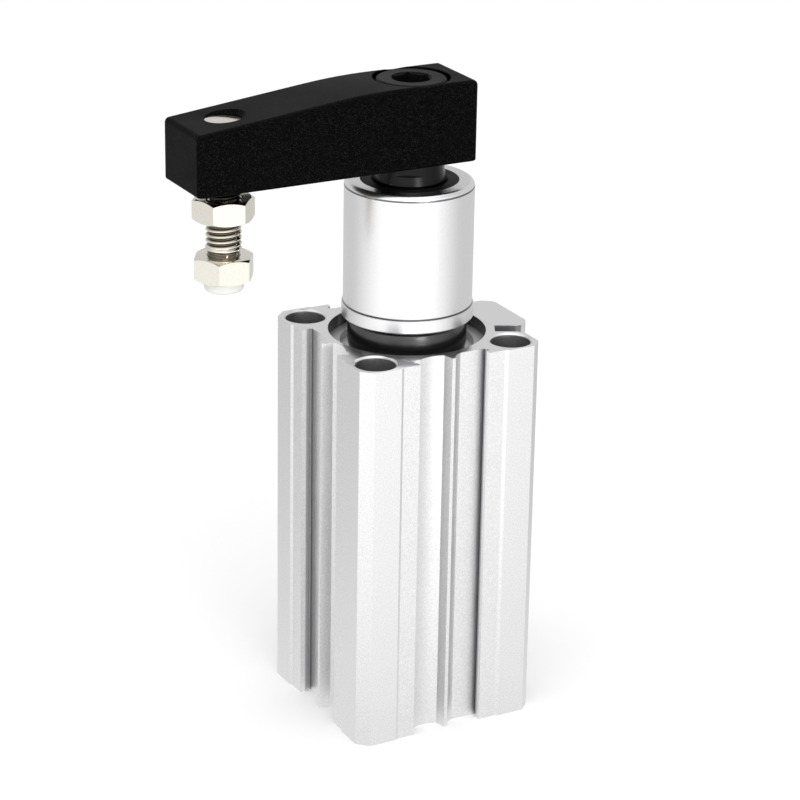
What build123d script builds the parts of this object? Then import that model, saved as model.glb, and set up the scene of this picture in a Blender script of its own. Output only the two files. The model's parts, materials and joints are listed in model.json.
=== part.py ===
from build123d import *
from math import cos, radians, sin, tan
import os

# Swing clamp cylinder, in millimetres.
# The origin is the centre of the body's foot, on the bore axis. +Z points up the rod,
# the arm points along -X at rest, and the air ports are on the +X side.

# Stroke and swing
clamp_stroke = 30.0
rotary_stroke = 15.0
swing_angle = 90.0
total_stroke = clamp_stroke + rotary_stroke
stop_gap = 0.2

# Clearances
running_gap = 0.04
seat_gap = 0.05
ring_gap = 0.1
bore_gap = 0.05
cut_margin = 1.0

# Extruded body: square side, corner chamfer, stepped faces and sensor grooves
body_side = 45.0
corner_chamfer = 2.5
land_step = 0.4
land_step_half = 13.4
land_step_slope = 0.7
groove_mouth_half = 8.6
groove_depth = 2.9
deep_groove_depth = 3.6
groove_corner = 0.3
lip_thickness = 1.3
lip_undercut = 1.0
lip_draft = 0.1
rib_tip_half = 0.4
rib_root_half = 3.0
rib_foot_half = 1.05
round_floor_half = 7.1
rib_tip_below_land = 0.4
rib_waist_half = 1.6
rib_waist_rise = 0.75
boss_height = 4.5
boss_face_half = 6.7
boss_edge_chamfer = 1.0
boss_shoulder = 1.9
boss_flare = 1.4
side_slot_angle = 26.3
side_slot_width = 4.0
side_slot_wall = 1.35
side_land_half = 14.9
side_land_drop = 1.2
side_land_inset = 2.4
side_land_lead = 3.6

# Bore, its two wider mouths and the grooves for the retaining rings
bore_diameter = 32.0
mouth_step = 1.8
ring_groove_depth = 0.6
ring_thickness = 1.5
ring_edge_distance = 1.4
cover_ring_depth = 2.75
ring_width = 2.7
ring_opening = 16.0
ring_eye_radius = 0.9
ring_eye_turn = 5.0

# Mounting holes and air ports
hole_pitch = 34.0
hole_diameter = 5.5
counterbore_diameter = 9.0
counterbore_depth = 7.0
counterbore_rim = 0.45
port_hole_diameter = 8.6
port_hole_depth = 7.5
port_rim = 0.6
port_passage_diameter = 2.2

# Foot end: end plate, its gasket and the lower bumper
end_flange_thickness = 3.45
end_spigot_length = 3.35
plate_recess_radius = 7.6
plate_recess_depth = 1.0
gasket_section = 1.7
gasket_groove_width = 1.9
gasket_squeeze = 0.05
gasket_seat = 0.1
lower_bumper_nut_gap = 1.1
lower_bumper_margin = 3.5
bumper_thickness = 2.0

# Piston with its rings, and the nut that holds it
piston_length = 12.5
piston_gap = 0.2
piston_edge = 0.5
wear_ring_width = 2.6
wear_ring_depth = 1.5
magnet_width = 2.2
magnet_depth = 2.6
magnet_gap = 0.5
seal_width = 2.6
seal_depth = 2.5
groove_side_gap = 0.1
ring_land = 1.1
piston_nut_radius = 7.9
piston_nut_recess = 5.7
piston_nut_thickness = 5.0
piston_nut_flats = 13.0

# Rod with its cam tracks and guide pins
rod_diameter = 16.0
spigot_diameter = 10.0
rod_thread_diameter = 8.0
track_width = 3.8
track_depth = 1.6
track_count = 2
pin_diameter = 3.5
pin_tip_gap = 0.3
pin_above_cover_foot = 3.1
wrench_flats = 14.0
wrench_flat_angle = -120.0
wrench_flat_height = 2.4
taper_small_diameter = 13.3
taper_mouth_diameter = 14.8
taper_depth = 5.6
taper_foot_rise = 0.4
rod_edge = 0.4
rod_thread_end = 0.2
tapped_spare = 1.5

# Rod cover: nose in the bore, flange, neck, skirt and sleeve
cover_nose_gap = 1.5
cover_nose_length = 6.0
cover_barrel_length = 6.3
cover_flange_thickness = 2.5
cover_gasket_rise = 2.2
neck_wall = 2.0
neck_length = 7.9
skirt_step = 0.35
skirt_edge = 0.4
skirt_line_edge = 0.15
skirt_line_depth = 0.25
skirt_line_height = 0.35
skirt_height = 3.2
sleeve_diameter = 29.0
sleeve_round = 1.3
pin_bore_gap = 0.3
bush_wall = 1.6
bush_foot_rise = 6.3
rod_seal_section = 3.0
rod_seal_height = 2.4
scraper_height = 1.6
scraper_lip = 0.5
upper_bumper_thickness = 1.5
upper_bumper_rod_gap = 1.2
upper_bumper_margin = 1.9
foot_ring_wall = 1.8
foot_ring_height = 7.15
foot_ring_round = 0.6
foot_ring_bulge = 0.45

# Clamp arm
arm_gap = 4.8
arm_width = 18.0
arm_root_height = 18.2
arm_tip_height = 13.5
arm_root_reach = 12.0
arm_knee_reach = 14.0
arm_knee_radius = 140.0
arm_centres = 45.3
arm_tip_margin = 9.8
arm_edge = 1.2
arm_foot_edge = 0.5
screw_head_diameter = 16.0
screw_head_height = 10.0
screw_head_gap = 0.65
screw_head_sink = 0.1
screw_head_edge = 0.9
screw_socket_flats = 8.0
screw_socket_depth = 5.0
screw_socket_angle = 12.0
screw_socket_lead = 0.45
screw_end_chamfer = 0.6
screw_diameter = 10.0
screw_length = 20.0
screw_hole_gap = 0.3
thread_gap = 0.04

# Clamp bolt, head down, with its lock nut and pad
bolt_diameter = 8.0
bolt_length = 30.0
bolt_flats = 12.0
bolt_head_height = 5.3
bolt_head_angle = -93.0
bolt_neck_length = 1.6
bolt_neck_radius = 3.5
bolt_neck_slope = 0.5
bolt_end_chamfer = 0.65
nut_flats = 12.0
nut_thickness = 5.0
nut_angle = -103.0
nut_gap_under_arm = 3.0
bolt_showing_under_nut = 8.0
tip_hole_countersink = 8.9
pad_radius = 4.35
pad_height = 2.7
pad_stem_radius = 2.5
pad_stem_height = 2.0
pad_round = 1.0
hex_chamfer_angle = 30.0

# Places along the axis, from the foot up
bore_radius = bore_diameter / 2
mouth_radius = bore_radius + mouth_step
ring_groove_radius = mouth_radius + ring_groove_depth
ring_outer_radius = ring_groove_radius - ring_gap
ring_inner_radius = mouth_radius - ring_width
rod_radius = rod_diameter / 2
cover_nose_radius = bore_radius - cover_nose_gap
bush_outer_radius = rod_radius + bush_wall
neck_radius = bush_outer_radius + neck_wall
rod_seal_radius = rod_radius + rod_seal_section
ring_seat = ring_thickness + ring_gap
end_plate_foot = ring_edge_distance + ring_seat
foot_mouth_depth = end_plate_foot + end_flange_thickness + seat_gap
end_plate_top = end_plate_foot + end_flange_thickness + end_spigot_length
lower_bumper_top = end_plate_top + seat_gap + bumper_thickness
piston_foot = lower_bumper_top + stop_gap
piston_top = piston_foot + piston_length
upper_bumper_foot = piston_top + total_stroke + stop_gap
cover_foot = upper_bumper_foot + upper_bumper_thickness + seat_gap
barrel_foot = cover_foot + cover_nose_length
flange_foot = barrel_foot + cover_barrel_length
flange_top = flange_foot + cover_flange_thickness
cover_ring_foot = flange_top + seat_gap
body_height = cover_ring_foot + ring_thickness + cover_ring_depth
pin_height = cover_foot + pin_above_cover_foot
track_top = pin_height + track_width / 2
skirt_foot = flange_top + neck_length
skirt_top = skirt_foot + skirt_height
rod_seal_foot = track_top + total_stroke + stop_gap
rod_seal_top = rod_seal_foot + rod_seal_height
scraper_foot = rod_seal_top + seat_gap
cover_top = scraper_foot + scraper_height
arm_foot = cover_top + arm_gap
arm_top = arm_foot + arm_root_height
rod_top = arm_foot + taper_depth
screw_head_top = arm_top - screw_head_sink
screw_seat = screw_head_top - screw_head_height
nut_top = arm_foot - nut_gap_under_arm
nut_foot = nut_top - nut_thickness
bolt_head_top = nut_foot - bolt_showing_under_nut
bolt_head_foot = bolt_head_top - bolt_head_height
pad_foot = bolt_head_foot - pad_height
lower_port_height = (end_plate_top + piston_foot) / 2
upper_port_height = pin_height
body_half = body_side / 2
land_distance = body_half - land_step
groove_bottom = land_distance - groove_depth
deep_groove_bottom = land_distance - deep_groove_depth
rib_top = land_distance - rib_tip_below_land
boss_face = body_half + boss_height

os.makedirs("parts", exist_ok=True)


def groove_wall(side, floor_half):
    """Points of one half of a sensor groove, from the land step to its floor; side is -1 or 1."""
    lip_foot = land_distance - lip_thickness
    wall = groove_mouth_half + lip_undercut
    return [
        (side * land_step_half, body_half),
        (side * (land_step_half - land_step_slope), land_distance),
        (side * groove_mouth_half, land_distance),
        (side * (groove_mouth_half + lip_draft), lip_foot),
        (side * wall, lip_foot - groove_corner),
        (side * wall, groove_bottom + groove_corner),
        (side * (wall - groove_corner), groove_bottom),
        (side * floor_half, groove_bottom),
    ]


def flared_half(side):
    """Edges of a groove half with a level floor and a rib that flares down to it."""
    wall = groove_wall(side, rib_root_half)
    waist = (side * rib_waist_half, groove_bottom + rib_waist_rise)
    Polyline(*wall)
    ThreePointArc(wall[-1], waist, (side * rib_tip_half, rib_top))


def round_half(side):
    """Edges of a groove half with a rounded floor and a rib that stands upright on it."""
    wall = groove_wall(side, round_floor_half)
    rib_foot = (side * rib_foot_half, groove_bottom)
    floor_middle = (side * (round_floor_half + rib_foot_half) / 2, deep_groove_bottom)
    Polyline(*wall)
    ThreePointArc(wall[-1], floor_middle, rib_foot)
    Line(rib_foot, (side * rib_tip_half, rib_top))


def face_groove(left_half, right_half):
    """Section cut out of one face: two groove halves with a rib between them, for the +Y face."""
    outside = body_half + 2 * boss_height
    with BuildSketch() as groove:
        with BuildLine():
            left_half(-1)
            Line((-rib_tip_half, rib_top), (rib_tip_half, rib_top))
            right_half(1)
            Polyline(
                (land_step_half, body_half),
                (land_step_half, outside),
                (-land_step_half, outside),
                (-land_step_half, body_half),
            )
        make_face()
    return groove.sketch


def retaining_ring(foot, opening_direction):
    """Flat spring ring with an opening and two plier eyes, lying on the plane at foot."""
    eye_ring_radius = (ring_inner_radius + ring_outer_radius) / 2
    eye_angle = ring_opening / 2 + ring_eye_turn
    with BuildPart() as ring:
        with BuildSketch(Plane.XY.offset(foot)):
            Circle(ring_outer_radius)
            Circle(ring_inner_radius, mode=Mode.SUBTRACT)
            with PolarLocations(eye_ring_radius, 1, opening_direction):
                Rectangle(
                    3 * (ring_outer_radius - ring_inner_radius),
                    2 * eye_ring_radius * sin(radians(ring_opening / 2)),
                    mode=Mode.SUBTRACT,
                )
            with PolarLocations(eye_ring_radius, 2, opening_direction - eye_angle, 4 * eye_angle):
                Circle(ring_eye_radius, mode=Mode.SUBTRACT)
        extrude(amount=ring_thickness)
    return ring.part


def upright_plane(axis_x):
    """Plane of a turned piece's section: its own x is the radius and its own y is the height."""
    return Plane((axis_x, 0, 0), x_dir=(1, 0, 0), z_dir=(0, -1, 0))


def hex_blank(flats, foot, height, turn, axis_x):
    """Hexagon with a flat facing turn, and with the corners of both its ends turned down."""
    corner = flats / 2 / cos(radians(30))
    drop = (corner - flats / 2) * tan(radians(hex_chamfer_angle))
    with BuildPart() as blank:
        with BuildSketch(Plane((axis_x, 0, foot))):
            RegularPolygon(flats / 2, 6, major_radius=False, rotation=turn + 30)
        extrude(amount=height)
        with BuildSketch(upright_plane(axis_x)):
            with BuildLine():
                Polyline(
                    (0, foot),
                    (flats / 2, foot),
                    (corner, foot + drop),
                    (corner, foot + height - drop),
                    (flats / 2, foot + height),
                    (0, foot + height),
                    close=True,
                )
            make_face()
        revolve(axis=Axis((axis_x, 0, 0), (0, 0, 1)), mode=Mode.INTERSECT)
    return blank.part


# Cylinder body: extrusion with grooves, boss, bore, ring grooves, mounting holes and ports
with BuildPart() as cylinder_body:
    with BuildSketch():
        square = Rectangle(body_side, body_side)
        chamfer(square.vertices(), corner_chamfer)
        add(face_groove(flared_half, flared_half), mode=Mode.SUBTRACT)
        add(face_groove(round_half, flared_half), rotation=90, mode=Mode.SUBTRACT)
        add(face_groove(flared_half, round_half), rotation=180, mode=Mode.SUBTRACT)
        for side in (-1, 1):
            with BuildLine():
                Polyline(
                    (body_half - side_land_drop, side * (side_land_half - side_land_inset)),
                    (body_half, side * side_land_half),
                    (body_half + boss_height, side * side_land_half),
                    (body_half + boss_height, side * (side_land_half - side_land_lead)),
                    close=True,
                )
            make_face(mode=Mode.SUBTRACT)
        with BuildLine():
            Polyline(
                (bore_radius, -(boss_face_half + boss_edge_chamfer + boss_shoulder)),
                (body_half + boss_shoulder, -(boss_face_half + boss_edge_chamfer + boss_flare)),
                (boss_face - boss_edge_chamfer / 2, -(boss_face_half + boss_edge_chamfer)),
                (boss_face, -boss_face_half),
                (boss_face, boss_face_half),
                (boss_face - boss_edge_chamfer / 2, boss_face_half + boss_edge_chamfer),
                (body_half + boss_shoulder, boss_face_half + boss_edge_chamfer + boss_flare),
                (bore_radius, boss_face_half + boss_edge_chamfer + boss_shoulder),
                close=True,
            )
        make_face()
        slot_length = boss_face
        slot_centre = ring_groove_radius + side_slot_wall + slot_length / 2
        with PolarLocations(slot_centre, 2, -side_slot_angle, 4 * side_slot_angle):
            Rectangle(slot_length, side_slot_width, mode=Mode.SUBTRACT)
    extrude(amount=body_height)
    with BuildSketch(Plane.XZ):
        groove_top = cover_ring_foot + ring_seat
        with BuildLine():
            Polyline(
                (0, 0),
                (mouth_radius, 0),
                (mouth_radius, ring_edge_distance),
                (ring_groove_radius, ring_edge_distance),
                (ring_groove_radius, end_plate_foot),
                (mouth_radius, end_plate_foot),
                (mouth_radius, foot_mouth_depth),
                (bore_radius, foot_mouth_depth),
                (bore_radius, flange_foot - seat_gap),
                (mouth_radius, flange_foot - seat_gap),
                (mouth_radius, cover_ring_foot),
                (ring_groove_radius, cover_ring_foot),
                (ring_groove_radius, groove_top),
                (mouth_radius, groove_top),
                (mouth_radius, body_height),
                (0, body_height),
                close=True,
            )
        make_face()
    revolve(axis=Axis.Z, mode=Mode.SUBTRACT)
    with Locations((0, 0, body_height)):
        with GridLocations(hole_pitch, hole_pitch, 2, 2):
            CounterBoreHole(hole_diameter / 2, counterbore_diameter / 2, counterbore_depth)
            Cone(
                counterbore_diameter / 2,
                counterbore_diameter / 2 + counterbore_rim,
                counterbore_rim,
                align=(Align.CENTER, Align.CENTER, Align.MAX),
                mode=Mode.SUBTRACT,
            )
    for port_height in (lower_port_height, upper_port_height):
        with Locations(Plane(origin=(boss_face, 0, port_height), z_dir=(1, 0, 0))):
            Hole(port_hole_diameter / 2, port_hole_depth)
            Hole(port_passage_diameter / 2, boss_face - bore_radius + cut_margin)
            Cone(
                port_hole_diameter / 2,
                port_hole_diameter / 2 + port_rim,
                port_rim,
                align=(Align.CENTER, Align.CENTER, Align.MAX),
                mode=Mode.SUBTRACT,
            )
cylinder_body.part.label = "cylinder_body"
export_step(cylinder_body.part, "parts/cylinder_body.step")

# Retaining rings in the two mouths
cover_retaining_ring = retaining_ring(cover_ring_foot, 45)
cover_retaining_ring.label = "cover_retaining_ring"
export_step(cover_retaining_ring, "parts/cover_retaining_ring.step")

end_retaining_ring = retaining_ring(ring_edge_distance + ring_gap / 2, 0)
end_retaining_ring.label = "end_retaining_ring"
export_step(end_retaining_ring, "parts/end_retaining_ring.step")

# End plate: flange in the mouth, spigot in the bore with a gasket groove
end_gasket_height = foot_mouth_depth + end_spigot_length / 2
groove_floor = bore_radius - gasket_section - gasket_seat
with BuildPart() as end_plate:
    with BuildSketch(Plane.XZ):
        spigot_radius = bore_radius - bore_gap
        groove_low = end_gasket_height - gasket_groove_width / 2
        groove_high = end_gasket_height + gasket_groove_width / 2
        with BuildLine():
            Polyline(
                (0, end_plate_foot + plate_recess_depth),
                (plate_recess_radius, end_plate_foot + plate_recess_depth),
                (plate_recess_radius, end_plate_foot),
                (mouth_radius - ring_gap, end_plate_foot),
                (mouth_radius - ring_gap, foot_mouth_depth - seat_gap),
                (spigot_radius, foot_mouth_depth - seat_gap),
                (spigot_radius, groove_low),
                (groove_floor, groove_low),
                (groove_floor, groove_high),
                (spigot_radius, groove_high),
                (spigot_radius, end_plate_top),
                (0, end_plate_top),
                close=True,
            )
        make_face()
    revolve(axis=Axis.Z)
end_plate.part.label = "end_plate"
export_step(end_plate.part, "parts/end_plate.step")

# O-ring gaskets of the end plate and of the cover
cover_gasket_height = barrel_foot + cover_gasket_rise
gasket_radius = bore_radius - gasket_squeeze - gasket_section / 2
with BuildPart() as end_plate_gasket:
    with Locations((0, 0, end_gasket_height)):
        Torus(gasket_radius, gasket_section / 2)
end_plate_gasket.part.label = "end_plate_gasket"
export_step(end_plate_gasket.part, "parts/end_plate_gasket.step")

with BuildPart() as cover_gasket:
    with Locations((0, 0, cover_gasket_height)):
        Torus(gasket_radius, gasket_section / 2)
cover_gasket.part.label = "cover_gasket"
export_step(cover_gasket.part, "parts/cover_gasket.step")

# Bumper rings at the two ends of the stroke
with BuildPart() as lower_bumper:
    with BuildSketch(Plane.XY.offset(end_plate_top + seat_gap)):
        Circle(bore_radius - lower_bumper_margin)
        Circle(piston_nut_radius + lower_bumper_nut_gap, mode=Mode.SUBTRACT)
    extrude(amount=bumper_thickness)
lower_bumper.part.label = "lower_bumper"
export_step(lower_bumper.part, "parts/lower_bumper.step")

with BuildPart() as upper_bumper:
    with BuildSketch(Plane.XY.offset(upper_bumper_foot)):
        Circle(cover_nose_radius - upper_bumper_margin)
        Circle(rod_radius + upper_bumper_rod_gap, mode=Mode.SUBTRACT)
    extrude(amount=upper_bumper_thickness)
upper_bumper.part.label = "upper_bumper"
export_step(upper_bumper.part, "parts/upper_bumper.step")

# Rod cover: one turned piece with stepped bore, pin holes and a gasket groove
bush_foot = cover_foot + bush_foot_rise
sleeve_radius = sleeve_diameter / 2
skirt_radius = sleeve_radius + skirt_step
with BuildPart() as rod_cover:
    with BuildSketch(Plane.XZ):
        barrel_radius = bore_radius - bore_gap
        groove_low = cover_gasket_height - gasket_groove_width / 2
        groove_high = cover_gasket_height + gasket_groove_width / 2
        rim_start = (sleeve_radius, cover_top - sleeve_round)
        rim_end = (sleeve_radius - sleeve_round, cover_top)
        with BuildLine():
            Polyline(
                (rod_radius + pin_bore_gap, cover_foot),
                (cover_nose_radius, cover_foot),
                (cover_nose_radius, barrel_foot),
                (barrel_radius, barrel_foot),
                (barrel_radius, groove_low),
                (groove_floor, groove_low),
                (groove_floor, groove_high),
                (barrel_radius, groove_high),
                (barrel_radius, flange_foot),
                (mouth_radius - ring_gap, flange_foot),
                (mouth_radius - ring_gap, flange_top),
                (neck_radius, flange_top),
                (neck_radius, skirt_foot),
                (skirt_radius - skirt_edge, skirt_foot),
                (skirt_radius, skirt_foot + skirt_edge),
                (skirt_radius, skirt_top - skirt_line_edge),
                (sleeve_radius - skirt_line_depth, skirt_top),
                (sleeve_radius, skirt_top + skirt_line_height),
                rim_start,
            )
            RadiusArc(rim_start, rim_end, -sleeve_round)
            Polyline(
                rim_end,
                (rod_seal_radius, cover_top),
                (rod_seal_radius, rod_seal_foot - seat_gap),
                (bush_outer_radius, rod_seal_foot - seat_gap),
                (bush_outer_radius, bush_foot),
                (rod_radius + pin_bore_gap, bush_foot),
                (rod_radius + pin_bore_gap, cover_foot),
            )
        make_face()
    revolve(axis=Axis.Z)
    with BuildSketch(Plane.XZ):
        with Locations((0, pin_height)):
            Circle(pin_diameter / 2 + seat_gap)
    extrude(amount=cover_nose_radius + cut_margin, both=True, mode=Mode.SUBTRACT)
rod_cover.part.label = "rod_cover"
export_step(rod_cover.part, "parts/rod_cover.step")

# Black rubber ring round the cover's neck, bulged on its outer face
with BuildPart() as foot_ring:
    ring_foot = flange_top + seat_gap
    ring_top = ring_foot + foot_ring_height
    ring_bore = neck_radius + seat_gap
    ring_outside = ring_bore + foot_ring_wall
    edge_radius = ring_outside - foot_ring_bulge
    with BuildSketch(Plane.XZ):
        with BuildLine():
            Polyline(
                (edge_radius, ring_top),
                (ring_bore, ring_top),
                (ring_bore, ring_foot),
                (edge_radius, ring_foot),
            )
            ThreePointArc(
                (edge_radius, ring_foot),
                (ring_outside, (ring_foot + ring_top) / 2),
                (edge_radius, ring_top),
            )
        face = make_face()
        fillet(face.vertices().group_by(Axis.X)[-1], foot_ring_round)
    revolve(axis=Axis.Z)
foot_ring.part.label = "foot_ring"
export_step(foot_ring.part, "parts/foot_ring.step")

# Guide bush, rod seal and scraper in the cover
with BuildPart() as guide_bush:
    with BuildSketch(Plane.XY.offset(bush_foot + seat_gap)):
        Circle(bush_outer_radius - seat_gap)
        Circle(rod_radius + running_gap, mode=Mode.SUBTRACT)
    extrude(amount=rod_seal_foot - bush_foot - 3 * seat_gap)
guide_bush.part.label = "guide_bush"
export_step(guide_bush.part, "parts/guide_bush.step")

with BuildPart() as rod_seal:
    with BuildSketch(Plane.XY.offset(rod_seal_foot)):
        Circle(rod_seal_radius - seat_gap)
        Circle(rod_radius + running_gap, mode=Mode.SUBTRACT)
    extrude(amount=rod_seal_height)
rod_seal.part.label = "rod_seal"
export_step(rod_seal.part, "parts/rod_seal.step")

with BuildPart() as scraper:
    with BuildSketch(Plane.XY.offset(scraper_foot)):
        Circle(rod_seal_radius - seat_gap)
        Circle(rod_radius + running_gap, mode=Mode.SUBTRACT)
    extrude(amount=scraper_height)
    lip = scraper.edges().filter_by(GeomType.CIRCLE).group_by(Axis.Z)[-1].sort_by(SortBy.RADIUS)[0]
    chamfer(lip, scraper_lip)
scraper.part.label = "scraper"
export_step(scraper.part, "parts/scraper.step")

# Guide pins: pressed into the nose of the cover, tips just clear of the rod
with BuildPart() as guide_pins:
    pin_length = cover_nose_radius - rod_radius - pin_tip_gap - seat_gap
    for side in (-1, 1):
        pin_plane = Plane(origin=(0, side * (rod_radius + pin_tip_gap), pin_height), z_dir=(0, side, 0))
        with BuildSketch(pin_plane):
            Circle(pin_diameter / 2)
        extrude(amount=pin_length)
guide_pins.part.label = "guide_pins"
export_step(guide_pins.part, "parts/guide_pins.step")

# Piston with grooves for its rings and a recess for the nut
piston_radius = bore_radius - piston_gap
wear_low = piston_foot + ring_land
wear_high = wear_low + wear_ring_width + groove_side_gap
magnet_low = wear_high + ring_land
magnet_high = magnet_low + magnet_width + groove_side_gap
seal_low = magnet_high + ring_land
seal_high = seal_low + seal_width + groove_side_gap
spigot_hole_radius = spigot_diameter / 2 + running_gap
with BuildPart() as piston:
    with BuildSketch(Plane.XZ):
        with BuildLine():
            Polyline(
                (piston_nut_radius, piston_foot),
                (piston_radius - piston_edge, piston_foot),
                (piston_radius, piston_foot + piston_edge),
                (piston_radius, wear_low),
                (piston_radius - wear_ring_depth, wear_low),
                (piston_radius - wear_ring_depth, wear_high),
                (piston_radius, wear_high),
                (piston_radius, magnet_low),
                (piston_radius - magnet_depth, magnet_low),
                (piston_radius - magnet_depth, magnet_high),
                (piston_radius, magnet_high),
                (piston_radius, seal_low),
                (piston_radius - seal_depth, seal_low),
                (piston_radius - seal_depth, seal_high),
                (piston_radius, seal_high),
                (piston_radius, piston_top - piston_edge),
                (piston_radius - piston_edge, piston_top),
                (spigot_hole_radius, piston_top),
                (spigot_hole_radius, piston_foot + piston_nut_recess),
                (piston_nut_radius, piston_foot + piston_nut_recess),
                close=True,
            )
        make_face()
    revolve(axis=Axis.Z)
piston.part.label = "piston"
export_step(piston.part, "parts/piston.step")


def piston_band(low, width, outer_radius, depth):
    """Ring of rectangular section that lies in one of the piston's grooves."""
    with BuildPart() as band:
        with BuildSketch(Plane.XY.offset(low + groove_side_gap / 2)):
            Circle(outer_radius)
            Circle(piston_radius - depth + seat_gap, mode=Mode.SUBTRACT)
        extrude(amount=width)
    return band.part


wear_ring = piston_band(wear_low, wear_ring_width, bore_radius - running_gap, wear_ring_depth)
wear_ring.label = "wear_ring"
export_step(wear_ring, "parts/wear_ring.step")

magnet = piston_band(magnet_low, magnet_width, piston_radius - magnet_gap, magnet_depth)
magnet.label = "magnet"
export_step(magnet, "parts/magnet.step")

piston_seal = piston_band(seal_low, seal_width, bore_radius - running_gap, seal_depth)
piston_seal.label = "piston_seal"
export_step(piston_seal, "parts/piston_seal.step")

# Piston rod: stepped foot, two cam tracks, wrench flats, taper and tapped end
nut_seat = piston_foot + piston_nut_recess - seat_gap
nut_low = nut_seat - piston_nut_thickness
thread_foot = nut_low - rod_thread_end
taper_slope = (taper_mouth_diameter - taper_small_diameter) / 2 / taper_depth
taper_foot = cover_top + taper_foot_rise
tapped_depth = screw_length - (screw_seat - rod_top) + tapped_spare
lead = rotary_stroke * 360 / swing_angle
with BuildPart() as piston_rod:
    with BuildSketch(Plane.XZ):
        with BuildLine():
            Polyline(
                (0, thread_foot),
                (rod_thread_diameter / 2 - rod_edge, thread_foot),
                (rod_thread_diameter / 2, thread_foot + rod_edge),
                (rod_thread_diameter / 2, nut_seat),
                (spigot_diameter / 2, nut_seat),
                (spigot_diameter / 2, piston_top + seat_gap),
                (rod_radius, piston_top + seat_gap),
                (rod_radius, taper_foot),
                (taper_mouth_diameter / 2, arm_foot),
                (taper_small_diameter / 2, rod_top),
                (0, rod_top),
                close=True,
            )
        make_face()
    revolve(axis=Axis.Z)
    with Locations((0, 0, rod_top)):
        Hole(screw_diameter / 2 + thread_gap, tapped_depth)
    flat_cut = (rod_diameter - wrench_flats) / 2
    for turn in (0, 180):
        flat_plane = Plane.XY.offset(arm_foot - wrench_flat_height).rotated((0, 0, wrench_flat_angle + turn))
        with BuildSketch(flat_plane):
            with Locations((wrench_flats / 2 + flat_cut, 0)):
                Rectangle(2 * flat_cut, rod_diameter)
        extrude(amount=wrench_flat_height, mode=Mode.SUBTRACT)
    track_floor = rod_radius - track_depth
    track_reach = 2 * track_depth
    track_middle = track_floor + track_reach / 2
    turn_top = pin_height - clamp_stroke
    turn_foot = turn_top - rotary_stroke
    for number in range(track_count):
        turn = 90 + number * 360 / track_count
        track_plane = Plane.XY.rotated((0, 0, turn))
        with BuildSketch(track_plane.offset(turn_top)):
            with Locations((track_middle, 0)):
                Rectangle(track_reach, track_width)
        extrude(amount=clamp_stroke, mode=Mode.SUBTRACT)
        helix = Edge.make_helix(lead, rotary_stroke, track_middle, (0, 0, turn_foot))
        helix = helix.rotate(Axis.Z, turn - swing_angle)
        start = Plane(origin=helix @ 0, x_dir=Vector((helix @ 0).X, (helix @ 0).Y, 0), z_dir=helix % 0)
        with BuildSketch(start):
            Rectangle(track_reach, track_width)
        sweep(path=helix, is_frenet=True, mode=Mode.SUBTRACT)
        for place, angle in ((pin_height, turn), (turn_top, turn), (turn_foot, turn - swing_angle)):
            outward = Vector(cos(radians(angle)), sin(radians(angle)), 0)
            end_plane = Plane(origin=outward * track_floor + Vector(0, 0, place), z_dir=outward)
            with BuildSketch(end_plane):
                Circle(track_width / 2)
            extrude(amount=track_reach, mode=Mode.SUBTRACT)
piston_rod.part.label = "piston_rod"
export_step(piston_rod.part, "parts/piston_rod.step")

# Piston nut
with BuildPart() as piston_nut:
    add(hex_blank(piston_nut_flats, nut_low, piston_nut_thickness, 0, 0))
    with Locations((0, 0, nut_low)):
        Cylinder(
            rod_thread_diameter / 2 + thread_gap,
            piston_nut_thickness,
            align=(Align.CENTER, Align.CENTER, Align.MIN),
            mode=Mode.SUBTRACT,
        )
piston_nut.part.label = "piston_nut"
export_step(piston_nut.part, "parts/piston_nut.step")

# Clamp arm: side profile pulled to its width, rounded, then bored
with BuildPart() as clamp_arm:
    tip_end = -(arm_centres + arm_tip_margin)
    with BuildSketch(Plane.XZ):
        with BuildLine():
            Polyline(
                (arm_root_reach, arm_foot),
                (arm_root_reach, arm_top),
                (-arm_knee_reach, arm_top),
                (tip_end, arm_foot + arm_tip_height),
                (tip_end, arm_foot),
                close=True,
            )
        face = make_face()
        fillet(face.vertices().sort_by(Axis.X)[2], arm_knee_radius)
    extrude(amount=arm_width / 2, both=True)
    knee_seams = clamp_arm.edges().filter_by(Axis.Y).sort_by(Axis.X)[2:4]
    foot_edges = clamp_arm.edges().group_by(Axis.Z)[0]
    fillet(clamp_arm.edges() - knee_seams - foot_edges, arm_edge)
    fillet(clamp_arm.edges().group_by(Axis.Z)[0], arm_foot_edge)
    slope = (arm_root_height - arm_tip_height) / (arm_centres + arm_tip_margin - arm_knee_reach)
    tip_surface = arm_foot + arm_tip_height + slope * arm_tip_margin
    with Locations((0, 0, arm_top)):
        head_hole_radius = screw_head_diameter / 2 + screw_head_gap
        CounterBoreHole(screw_diameter / 2 + screw_hole_gap, head_hole_radius, arm_top - screw_seat)
    with Locations((0, 0, arm_foot)):
        Cone(
            taper_mouth_diameter / 2 + seat_gap,
            taper_small_diameter / 2 + seat_gap,
            taper_depth,
            align=(Align.CENTER, Align.CENTER, Align.MIN),
            mode=Mode.SUBTRACT,
        )
    with Locations((-arm_centres, 0, arm_foot)):
        Cylinder(
            bolt_diameter / 2 + thread_gap,
            arm_root_height,
            align=(Align.CENTER, Align.CENTER, Align.MIN),
            mode=Mode.SUBTRACT,
        )
    sink = (tip_hole_countersink - bolt_diameter) / 2
    sink_height = sink + slope * tip_hole_countersink
    with Locations((-arm_centres, 0, tip_surface - sink)):
        Cone(
            bolt_diameter / 2 + thread_gap,
            bolt_diameter / 2 + thread_gap + sink_height,
            sink_height,
            align=(Align.CENTER, Align.CENTER, Align.MIN),
            mode=Mode.SUBTRACT,
        )
clamp_arm.part.label = "clamp_arm"
export_step(clamp_arm.part, "parts/clamp_arm.step")

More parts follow.
